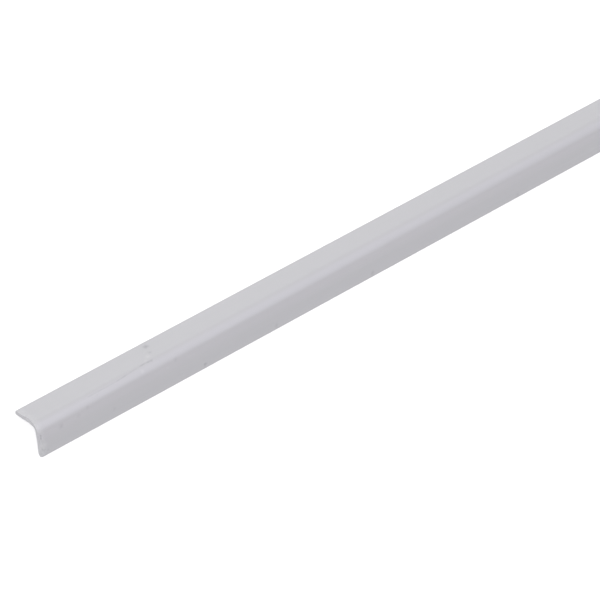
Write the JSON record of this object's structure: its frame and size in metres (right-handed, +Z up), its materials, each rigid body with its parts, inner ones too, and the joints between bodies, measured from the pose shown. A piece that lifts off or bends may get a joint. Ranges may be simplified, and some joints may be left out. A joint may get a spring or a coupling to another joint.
{
  "type": "corner guard moulding",
  "caption": "Straight length of extruded rigid vinyl angle with equal legs and a rounded nose, which covers and protects the outside corner of a wall.",
  "frame": {"origin": "on the floor under the nose, at the middle of the length: the bottom centre of the part's box as it rests on its two leg tips", "axes": "+X along the length of the extrusion, +Y across the two legs, +Z up through the rounded nose"},
  "size_m": [1.2192, 0.0266, 0.0126],
  "materials": {
    "vinyl": "satin"
  },
  "bodies": {
    "root": {"corner_guard": "vinyl"}
  },
  "joints": []
}
